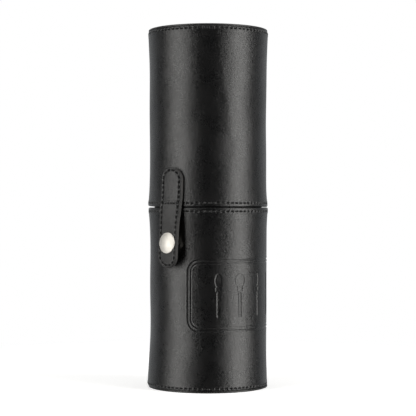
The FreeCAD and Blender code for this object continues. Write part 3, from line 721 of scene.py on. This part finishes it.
def strap_mesh():
    """The strap as rings drawn in from its edge: front, rounded edge, cut edge with its seam, back."""
    section = [(inset, STRAP_THICK, 1.0) for inset in np.linspace(STRAP_HALF, 2.0 * MM, 27)]
    section += [(inset, STRAP_THICK, 1.0) for inset in np.linspace(1.9 * MM, 0.45 * MM, 14)]
    section += [(0.27 * MM, STRAP_THICK - 0.07 * MM, 0.6), (0.12 * MM, STRAP_THICK - 0.2 * MM, 0.3)]
    section += [(0.02 * MM, STRAP_THICK - 0.42 * MM, 0), (0, STRAP_THICK - 0.75 * MM, 0)]
    section += [(0.01 * MM, STRAP_BACKING + 0.14 * MM, 0), (0.13 * MM, STRAP_BACKING, 0)]
    section += [(0.01 * MM, STRAP_BACKING - 0.14 * MM, 0), (0, 0.45 * MM, 0)]
    section += [(0.06 * MM, 0.18 * MM, 0), (0.25 * MM, 0.03 * MM, 0)]
    section += [(inset * MM, 0, 0) for inset in (0.6, 1.2, 2.5, 4.5, 6.2)] + [(STRAP_HALF, 0, 0)]
    rows, dulled = [], []
    for inset, rise, share in section:
        across, down, run, total = strap_outline(inset)
        relief = strap_relief(across, down, inset, run, total) * share
        rows.append(strap_place(across, down, rise + relief))
        cut_edge = float(share < 0.5 and rise > 0.1 * MM)
        dulled.append(np.maximum(cut_edge, 0.30 * soft_step(down, -1 * MM, 4 * MM)))
    rows, dulled = np.array(rows), np.concatenate(dulled)
    count = rows.shape[1]
    faces = []
    for row in range(len(rows) - 1):
        low, high = row * count, (row + 1) * count
        for column in range(count):
            after = (column + 1) % count
            faces.append((low + column, low + after, high + after, high + column))
    vertices, faces, kept = welded(rows.reshape(-1, 3), faces)
    return finish_mesh("strap_leather", vertices, faces, {"dulled": dulled[kept]})


strap = strap_mesh()


def strap_stitches():
    """The strap's thread: one round in from its edge, open at the cap, and one row across the fold."""
    paths = []
    across_round, down_round, run, total = strap_outline(STRAP_SEW, 4000)
    count = round(total / SEW_PITCH)
    for number in range(count):
        at = ((number + 0.5) / count * total + SPREAD * 0.5 * STITCH_LENGTH) % total
        across = np.interp(at, run, across_round, period=total)
        down = np.interp(at, run, down_round, period=total)
        if np.hypot(across, down - SNAP_DROP).min() > CAP_RADIUS:
            paths.append((across, down))
    width = STRAP_HALF - STRAP_SEW
    places = np.linspace(-width, width, CROSS_STITCHES + 1)
    for low, high in zip(places[:-1], places[1:]):
        paths.append(((low + high) / 2 + SPREAD * (high - low) / 2 * 0.78, 0 * SPREAD))
    rise = STRAP_THICK - STITCH_SUNK + stitch_lift(SPREAD)
    tubes = []
    for across, down in paths:
        centre = strap_place(across, down, rise)
        outward = strap_place(across, down, rise + MM) - centre
        tubes.append((centre, outward / np.linalg.norm(outward, axis=1)[:, None]))
    return stitch_tubes("strap_thread", tubes, 0.46 * MM)


strap_thread = strap_stitches()

STRAP_LEATHER = leather_material("strap leather", 0.34, 0.9, 1.2, "dulled")


def belongs_to_strap(piece, slot, material, *nodes):
    """Gives a piece that runs from the lid over the fold and down the free end of the strap its material,
    hides the CAD nodes it stands for and bakes its place into its mesh; unlike belongs it sets it on no
    body.
    """
    piece.data.materials.append(material)
    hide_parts(*nodes)
    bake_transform(piece)


STRAP_NODES = ("strap_anchor", "strap_anchor_backing", "strap_flap", "strap_flap_backing")
belongs_to_strap(strap, "leather", STRAP_LEATHER, *STRAP_NODES)
belongs_to_strap(strap_thread, "thread", WAXED_THREAD, "strap_anchor_stitching", "strap_flap_stitching")


# ---------------------------------------------------------------- cap of the snap fastener
# A domed cap of thin nickel-plated brass, rolled in at its edge and pressed into the leather.

CAP_RISE = 1.9 * MM
CAP_EDGE = 0.30 * MM


def cap_profile():
    """Half section of the cap from the middle of its dome to the middle of its hollow."""
    profile = []
    for part in np.linspace(0, 1, 26):
        radius = (CAP_RADIUS - CAP_EDGE) * math.sin(part * math.pi / 2)
        dome = 1 - (radius / (CAP_RADIUS + 0.9 * MM)) ** 2
        profile.append((radius, 0.45 * MM + (CAP_RISE - 0.45 * MM) * (dome - 0.28) / 0.72))
    edge_height = profile[-1][1]
    for step in range(1, 9):
        turn = step / 8 * math.pi * 0.75
        radius = CAP_RADIUS - CAP_EDGE + CAP_EDGE * math.sin(turn)
        profile.append((radius, edge_height - CAP_EDGE + CAP_EDGE * math.cos(turn)))
    profile += [(CAP_RADIUS - 0.10 * MM, -0.05 * MM), (CAP_RADIUS - 0.45 * MM, -0.12 * MM)]
    profile += [(CAP_RADIUS - 0.60 * MM, 0.10 * MM), (CAP_RADIUS * 0.5, 0.9 * MM), (0, 1.3 * MM)]
    return profile


snap_cap_dome = turned_mesh("snap_cap_dome", cap_profile(), columns=128)
seat = strap_place(0.0, SNAP_DROP, STRAP_THICK)
beside = strap_place(MM, SNAP_DROP, STRAP_THICK) - seat
below = strap_place(0.0, SNAP_DROP + MM, STRAP_THICK) - seat
facing = Vector(np.cross(below, beside)).normalized()    # square to the leather under the cap
turned_out = facing.to_track_quat("Z", "Y").to_matrix().to_4x4()
turned_out.translation = Vector(seat)
snap_cap_dome.data.transform(turned_out)


def plated_surface_group():
    """Satin nickel plate: faint clouding, and hairline marks from handling as a height in millimetres."""
    group, given, result = node_group(
        "plated surface",
        [("Roughness", "NodeSocketFloat", 0.5), ("Scratch", "NodeSocketFloat", 0.005)],
        [("Colour", "NodeSocketColor"), ("Roughness", "NodeSocketFloat"), ("Height", "NodeSocketFloat")],
    )
    place = group.nodes.new("ShaderNodeTexCoord").outputs["Object"]
    cloud = cloudiness(group, place, 700.0, 4.0)
    drawn = {"Vector": place, "Scale": (14000.0, 900.0, 900.0), "Rotation": (0.4, 0.2, 0.7)}
    stretched = add_node(group, "ShaderNodeMapping", drawn)
    hairline = cloudiness(group, stretched.outputs[0], 1.0, 2.0)
    group.links.new(blended_colour(group, cloud, (0.57, 0.55, 0.51), (0.66, 0.64, 0.60)), result["Colour"])
    varied = between(group, cloud, 0.3, 0.7, -0.04, 0.06)
    group.links.new(calculate(group, "ADD", varied, given["Roughness"]), result["Roughness"])
    clouded = calculate(group, "MULTIPLY", cloud, given["Scratch"])
    group.links.new(calculate(group, "MULTIPLY_ADD", hairline, given["Scratch"], clouded), result["Height"])
    return group


PLATED_SURFACE = plated_surface_group()


def plated_metal(name, roughness, scratch):
    material, tree, shader = new_material(name)
    sources = {"Roughness": roughness, "Scratch": scratch}
    surface = add_node(tree, "ShaderNodeGroup", sources, node_tree=PLATED_SURFACE)
    colour, roughness = surface.outputs["Colour"], surface.outputs["Roughness"]
    set_surface(tree, shader, colour, roughness, surface.outputs["Height"])
    shader.inputs["Metallic"].default_value = 1.0
    return material


def finish_cad(nodes, material):
    """Gives CAD pieces that stay as they are their material."""
    for node in nodes:
        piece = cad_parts[node]
        piece.data.materials.clear()
        piece.data.materials.append(material)


CAP_METAL = plated_metal("satin nickel", 0.58, 0.003)
belongs(snap_cap_dome, "strap", "snap_metal", CAP_METAL, "snap_cap")
FITTING_METAL = plated_metal("plated brass fittings", 0.30, 0.006)
FITTINGS = ("snap_stud", "stud_rivet", "snap_socket", "snap_spring", "cap_post")
finish_cad(FITTINGS, FITTING_METAL)


# ---------------------------------------------------------------- collar, linings and pads
# The collar inside the lower cup stands up into the lid.  It is a board tube covered in thin
# leather outside and in napped cloth inside; the lid has the same cloth, and each cup has a pad.

COLLAR_BORE = 31.3 * MM           # inside the collar's cloth
CLOTH_EASE = 0.08 * MM
CLOTH_RIPPLE = 0.05 * MM


def sleeve_profile(inner, outer, low, high, ease):
    """Section of a tube with eased rims, as a closed loop of (radius, height)."""
    loop = []
    corners = [(outer, low, -90), (outer, high, 0), (inner, high, 90), (inner, low, 180)]
    for radius, height, start in corners:
        centre_radius = radius - ease if radius == outer else radius + ease
        centre_height = height + ease if height == low else height - ease
        for step in range(5):
            turn = math.radians(start + step * 22.5)
            loop.append((centre_radius + ease * math.cos(turn), centre_height + ease * math.sin(turn)))
    return loop


def cloth_sleeve(name, inner, outer, low, high):
    """Cloth in the shape of a tube, with long faint waves in its outer and inner faces."""
    azimuth = np.linspace(-math.pi, math.pi, 256, endpoint=False)
    loop = sleeve_profile(inner, outer, low, high, CLOTH_EASE)
    dense = []
    for (radius, height), (next_radius, next_height) in zip(loop, loop[1:] + loop[:1]):
        parts = max(1, round(math.hypot(next_radius - radius, next_height - height) / (2.5 * MM)))
        for part in range(parts):
            on_radius = radius + (next_radius - radius) * part / parts
            dense.append((on_radius, height + (next_height - height) * part / parts))
    rows = []
    for radius, height in dense:
        swell = np.sin(2 * azimuth + height / (9 * MM)) * np.cos(3 * azimuth - height / (14 * MM))
        wave = CLOTH_RIPPLE * (0.5 + 0.5 * swell)
        share = 0.6 if radius < (inner + outer) / 2 else -1
        rows.append(lathe_point(radius + share * wave, azimuth, height))
    return sheet_mesh(name, np.array(rows))


collar_low, collar_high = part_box("collar_cover")
_, tube_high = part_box("collar_tube")
lining_low, lining_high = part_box("base_lining")
roof_low, roof_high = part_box("lid_lining")


def collar_leather():
    """Thin leather over the collar, turned down inside its rim by a few millimetres."""
    azimuth = np.linspace(-math.pi, math.pi, 256, endpoint=False)
    outer, inner = collar_high.x, tube_high.x
    low, high = collar_low.z, collar_high.z
    section = [(outer, low + 0.05 * MM)]
    section += [(outer, low + part * (high - 0.6 * MM - low)) for part in np.linspace(0.05, 1, 20)]
    for step in range(1, 7):
        turn = step / 6 * math.pi / 2
        section.append((outer - 0.6 * MM * (1 - math.cos(turn)), high - 0.6 * MM * (1 - math.sin(turn))))
    for step in range(1, 6):
        turn = step / 5 * math.pi / 2
        mouth = COLLAR_BORE + 0.28 * MM * (1 - math.sin(turn))
        section.append((mouth, high - 0.28 * MM * (1 - math.cos(turn))))
    section += [(COLLAR_BORE, tube_high.z), (inner, tube_high.z)]
    section += [(inner, (low + high) / 2), (inner, low + 0.05 * MM)]
    rows = []
    for radius, height in section:
        wave = 0.05 * MM * np.sin(4 * azimuth + height / (11 * MM)) if radius == outer else 0 * azimuth
        rows.append(lathe_point(radius - np.abs(wave), azimuth, height))
    return sheet_mesh("collar_leather", np.array(rows))


collar = collar_leather()
base_cloth = cloth_sleeve("base_cloth", COLLAR_BORE, lining_high.x, lining_low.z, lining_high.z)
lid_cloth = cloth_sleeve("lid_cloth", LID_BORE, roof_high.x, roof_low.z, roof_high.z)


def pad_profile(radius, under, over, ease):
    """Half section of a thin padded disc, plump in the middle and tucked at its edge."""
    profile = [(0, under), (radius - 0.3 * MM, under)]
    for step in range(8, 0, -1):
        turn = step / 8 * math.pi / 2
        profile.append((radius - ease + ease * math.sin(turn), over - ease + ease * math.cos(turn)))
    for part in (0.85, 0.65, 0.45, 0.25, 0.08, 0):
        profile.append((radius * part, over + 0.25 * MM * (1 - part ** 2)))
    return profile


floor_low, floor_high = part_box("base_floor_pad")
ceiling_low, ceiling_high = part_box("lid_ceiling_pad")
floor_section = pad_profile(floor_high.x - 0.1 * MM, floor_low.z, floor_high.z, 0.9 * MM)
floor_pad = turned_mesh("base_pad", floor_section)
ceiling_section = pad_profile(ceiling_high.x - 0.1 * MM, -ceiling_high.z, -ceiling_low.z, 0.7 * MM)
ceiling_pad = turned_mesh("lid_pad", ceiling_section)    # made face up, then turned over
for vertex in ceiling_pad.data.vertices:
    vertex.co.z = -vertex.co.z
ceiling_pad.data.flip_normals()
belongs(collar, "base", "leather", leather_material("collar leather", 0.44, 0.8, 0.6), "collar_cover")


def cloth_material():
    """Short-napped cloth: soft, dull, brushed lighter in patches, with a sheen at its edges."""
    material, tree, shader = new_material("napped cloth")
    place = tree.nodes.new("ShaderNodeTexCoord").outputs["Object"]
    fibre = cloudiness(tree, place, 5200.0, 5.0, 0.7)
    brushed = cloudiness(tree, place, 140.0, 4.0)
    colour = blended_colour(tree, brushed, (0.012, 0.012, 0.014), (0.030, 0.030, 0.034))
    height = calculate(tree, "MULTIPLY_ADD", fibre, 0.06, calculate(tree, "MULTIPLY", brushed, 0.25))
    set_surface(tree, shader, colour, between(tree, brushed, 0.3, 0.7, 0.86, 0.96), height)
    shader.inputs["Sheen Weight"].default_value = 0.35
    shader.inputs["Sheen Roughness"].default_value = 0.4
    return material


NAPPED_CLOTH = cloth_material()
belongs(base_cloth, "base", "lining", NAPPED_CLOTH, "base_lining")
belongs(lid_cloth, "lid", "lining", NAPPED_CLOTH, "lid_lining")
belongs(floor_pad, "base", "lining", NAPPED_CLOTH, "base_floor_pad")
belongs(ceiling_pad, "lid", "lining", NAPPED_CLOTH, "lid_ceiling_pad")


# ---------------------------------------------------------------- board tubes and end boards
# Grey board, wound in tubes and cut in discs.  It is glued behind the leather and the cloth.

def board_material():
    """Grey board: short fibres, and plies that run round the tube."""
    material, tree, shader = new_material("grey board")
    place = tree.nodes.new("ShaderNodeTexCoord").outputs["Object"]
    fibre = cloudiness(tree, place, 1800.0, 6.0, 0.7)
    layer = add_node(tree, "ShaderNodeMapping", {"Vector": place, "Scale": (40.0, 40.0, 4200.0)})
    ply = cloudiness(tree, layer.outputs[0], 1.0, 2.0)
    colour = blended_colour(tree, fibre, (0.19, 0.165, 0.13), (0.34, 0.30, 0.25))
    height = calculate(tree, "MULTIPLY_ADD", fibre, 0.03, calculate(tree, "MULTIPLY", ply, 0.03))
    set_surface(tree, shader, colour, between(tree, ply, 0.3, 0.7, 0.82, 0.95), height)
    return material


BOARDS = ("base_board_tube", "base_floor_board", "collar_tube", "lid_board_tube", "lid_top_board")
finish_cad(BOARDS, board_material())


# ---------------------------------------------------------------- floor, light and camera
# A white floor that runs into a white surround, two tall soft lights beside the case, a weaker
# one behind it and a wide one overhead.

CAMERA_AZIMUTH = math.radians(35.5)
CAMERA_DISTANCE = 0.862
CAMERA_HEIGHT = 110.2 * MM
LENS = 120.3
FLOOR_RADIUS = 40.0               # metres, far past the edge of the view


def floor_material():
    """White paper: lit and shaded near the case, plain white further off, dim in what it throws back."""
    material, tree, shader = new_material("white floor")
    place = tree.nodes.new("ShaderNodeTexCoord").outputs["Object"]
    out_from_case = add_node(tree, "ShaderNodeVectorMath", {0: place}, operation="LENGTH").outputs["Value"]
    speck = cloudiness(tree, place, 300.0, 4.0)
    colour = blended_colour(tree, speck, (0.80, 0.80, 0.80), (0.83, 0.83, 0.83))
    tree.links.new(colour, shader.inputs["Base Color"])
    shader.inputs["Roughness"].default_value = 0.9
    shader.inputs["Specular IOR Level"].default_value = 0.1
    shader.inputs["Emission Color"].default_value = (1, 1, 1, 1)
    shader.inputs["Emission Strength"].default_value = 0.5
    glow = add_node(tree, "ShaderNodeEmission", {"Color": (1, 1, 1, 1), "Strength": 1.0})
    dark = add_node(tree, "ShaderNodeEmission", {"Color": (1, 1, 1, 1), "Strength": 0.06})
    sources = {0: between(tree, out_from_case, 0.12, 0.30), 1: shader.outputs[0], 2: glow.outputs[0]}
    far = add_node(tree, "ShaderNodeMixShader", sources)
    sight = tree.nodes.new("ShaderNodeLightPath").outputs["Is Camera Ray"]
    sources = {0: sight, 1: dark.outputs[0], 2: far.outputs[0]}
    seen = add_node(tree, "ShaderNodeMixShader", sources)
    tree.links.new(seen.outputs[0], tree.nodes["Material Output"].inputs["Surface"])
    return material


floor_ring = np.linspace(0, 2 * math.pi, 96, endpoint=False)
floor_points = np.stack([np.sin(floor_ring), np.cos(floor_ring), 0 * floor_ring], axis=-1) * FLOOR_RADIUS
floor_data = bpy.data.meshes.new("floor")
floor_data.from_pydata(floor_points.tolist(), [], [tuple(range(96))[::-1]])
floor = bpy.data.objects.new("floor", floor_data)
bpy.context.scene.collection.objects.link(floor)
floor.data.materials.append(floor_material())
floor.visible_glossy = False
floor.visible_shadow = False


def soft_light(name, azimuth, elevation, distance, width, height, brightness, colour):
    """A flat rectangular light that faces the middle of the case; brightness is its radiance."""
    data = bpy.data.lights.new(name, "AREA")
    data.shape = "RECTANGLE"
    data.size, data.size_y = width, height
    data.energy = brightness * math.pi * width * height
    data.color = colour
    light = bpy.data.objects.new(name, data)
    flat = distance * math.cos(elevation)
    up = CAMERA_HEIGHT + distance * math.sin(elevation)
    light.location = (flat * math.sin(azimuth), -flat * math.cos(azimuth), up)
    towards_case = Vector((0, 0, CAMERA_HEIGHT)) - light.location
    light.rotation_euler = towards_case.to_track_quat("-Z", "Y").to_euler()
    light.visible_camera = False
    bpy.context.scene.collection.objects.link(light)


WARM, COOL = (1.0, 0.99, 0.965), (0.95, 0.98, 1.0)
soft_light("right_light", CAMERA_AZIMUTH + math.radians(63), 0.0, 1.5, 0.90, 3.2, 5.4, WARM)
soft_light("left_light", CAMERA_AZIMUTH - math.radians(59.5), 0.0, 1.5, 0.94, 3.2, 4.2, WARM)
soft_light("back_light", CAMERA_AZIMUTH + math.pi, 0.0, 1.5, 6.4, 3.2, 0.5, COOL)
soft_light("top_light", CAMERA_AZIMUTH, math.radians(88), 1.8, 1.6, 1.6, 1.6, WARM)


def surround():
    """White where the camera looks straight at it and dim for everything that reflects it."""
    world = bpy.data.worlds.new("surround")
    world.use_nodes = True
    tree = world.node_tree
    sight = tree.nodes.new("ShaderNodeLightPath").outputs["Is Camera Ray"]
    sources = {"Value": sight, "To Min": 0.02, "To Max": 1.0}
    strength = add_node(tree, "ShaderNodeMapRange", sources).outputs[0]
    tree.nodes["Background"].inputs["Color"].default_value = (1, 1, 1, 1)
    tree.links.new(strength, tree.nodes["Background"].inputs["Strength"])
    bpy.context.scene.world = world


surround()
camera_data = bpy.data.cameras.new("camera")
camera_data.lens = LENS
camera_data.sensor_width = 36
camera = bpy.data.objects.new("camera", camera_data)
camera_x = CAMERA_DISTANCE * math.sin(CAMERA_AZIMUTH)
camera_y = -CAMERA_DISTANCE * math.cos(CAMERA_AZIMUTH)
camera.location = (camera_x, camera_y, CAMERA_HEIGHT)
camera.rotation_euler = (math.pi / 2, 0, CAMERA_AZIMUTH)
bpy.context.scene.collection.objects.link(camera)
bpy.context.scene.camera = camera
bpy.context.scene.view_settings.view_transform = "Standard"
bpy.context.scene.view_settings.look = "None"
